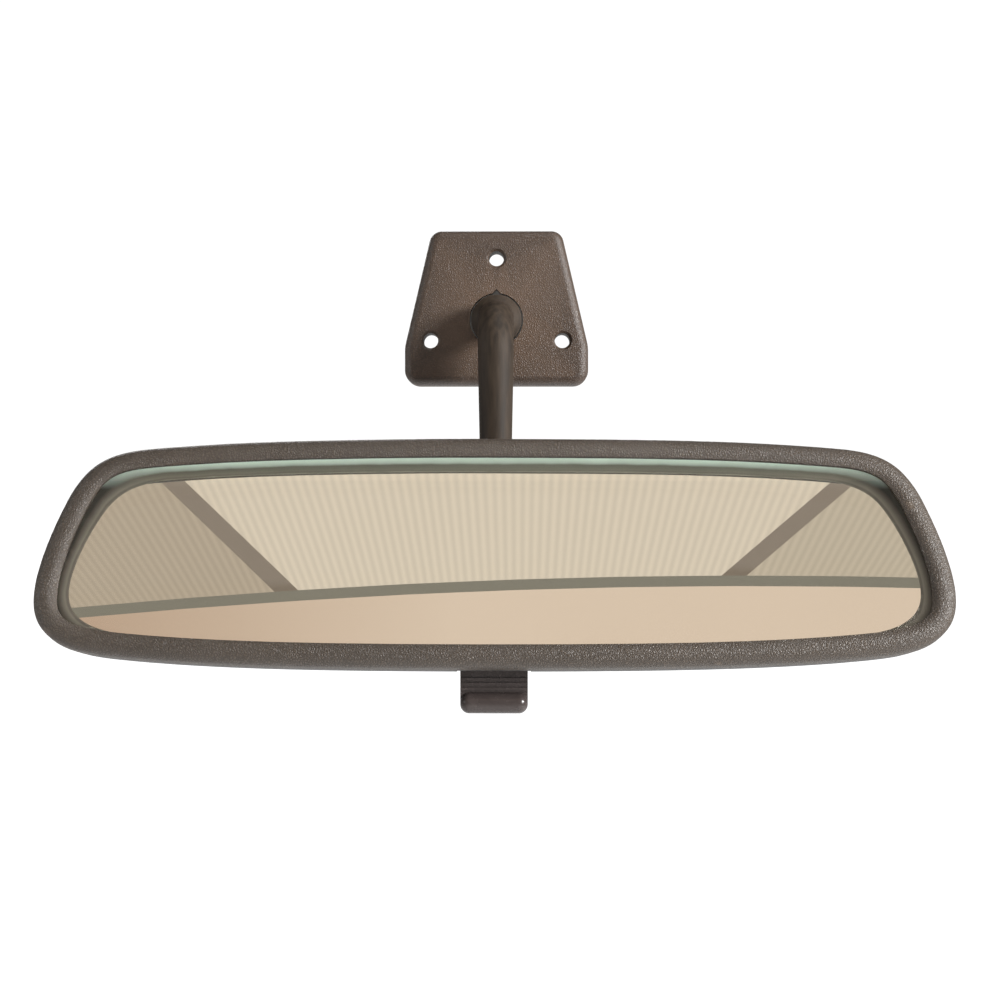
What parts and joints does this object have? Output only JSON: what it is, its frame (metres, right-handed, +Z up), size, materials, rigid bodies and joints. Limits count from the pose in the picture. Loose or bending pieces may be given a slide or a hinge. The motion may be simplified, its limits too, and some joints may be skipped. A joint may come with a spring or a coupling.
{
  "type": "interior rearview mirror",
  "caption": "Day/night prism rearview mirror with a rounded case, a bent arm on a ball joint, a screw-on trapezoid base and a dip tab.",
  "frame": {"origin": "on the back face of the base where it meets the header, on the axis the arm swivels about", "axes": "+Z is up; the glass looks towards -Y, leaning back 16 degrees as set; +Y points out of the back of the base into the header; +X runs along the length of the head"},
  "size_m": [0.24, 0.0752, 0.1349],
  "materials": {
    "grained_plastic": "fine leather grain, dark warm grey",
    "arm_plastic": "satin moulded, dark warm grey",
    "case_plastic": "fine grained black",
    "tab_plastic": "smooth glossy black",
    "clear_glass": "polished, pale green at the edge",
    "silver": "reflecting layer",
    "foam": "thin foam sheet",
    "zinc_steel": "zinc plated",
    "spring_steel": "blued spring steel",
    "nylon": "natural nylon",
    "bracket_plastic": "glass-filled nylon, plain black"
  },
  "bodies": {
    "base": {"base_cover": "grained_plastic", "back_plate": "zinc_steel", "swivel_bush": "nylon", "friction_washer": "zinc_steel", "disc_spring": "spring_steel"},
    "arm": {"arm_stem": "arm_plastic", "swivel_pin": "zinc_steel", "retaining_clip": "spring_steel", "ball_stud": "zinc_steel"},
    "front_cup": {"socket_front_cup": "nylon"},
    "rear_cup": {"socket_rear_cup": "nylon"},
    "bracket": {"hinge_bracket": "bracket_plastic", "pressure_ring": "nylon", "socket_spring": "spring_steel", "clamp_cap": "zinc_steel", "clamp_screws": "zinc_steel"},
    "head": {"housing_shell": "case_plastic", "front_rim": "grained_plastic", "prism_glass": "clear_glass", "silver_backing": "silver", "foam_pad": "foam", "hinge_pin": "zinc_steel", "lever_pivot_pin": "zinc_steel", "detent_spring": "spring_steel", "detent_screws": "zinc_steel"},
    "lever": {"dip_lever": "tab_plastic", "crank_pin": "zinc_steel"}
  },
  "joints": [
    {"name": "arm_swivel", "type": "hinge", "parent": "base", "child": "arm", "pos_m": [0, -0.005, 0], "axis": [0, 1, 0], "range_deg": [-45, 45]},
    {"name": "ball_yaw", "type": "hinge", "parent": "arm", "child": "front_cup", "pos_m": [0, -0.047, -0.0701], "axis": [0, 0, 1], "range_deg": [-25, 25]},
    {"name": "ball_pitch", "type": "hinge", "parent": "front_cup", "child": "rear_cup", "pos_m": [0, -0.047, -0.0701], "axis": [1, 0, 0], "range_deg": [-12, 15]},
    {"name": "ball_roll", "type": "hinge", "parent": "rear_cup", "child": "bracket", "pos_m": [0, -0.047, -0.0701], "axis": [0, -0.9613, 0.2756], "range_deg": [-8, 8]},
    {"name": "dip_tilt", "type": "hinge", "parent": "bracket", "child": "head", "pos_m": [0, -0.04598, -0.05203], "axis": [-1, 0, 0], "range_deg": [0, 4.39]},
    {"name": "lever_flip", "type": "hinge", "parent": "head", "child": "lever", "pos_m": [0, -0.06121, -0.09063], "axis": [-1, 0, 0], "range_deg": [0, 40.1]}
  ],
  "couplings": [
    {"joint": "lever_flip", "follows": "dip_tilt", "ratio": 9.118}
  ]
}
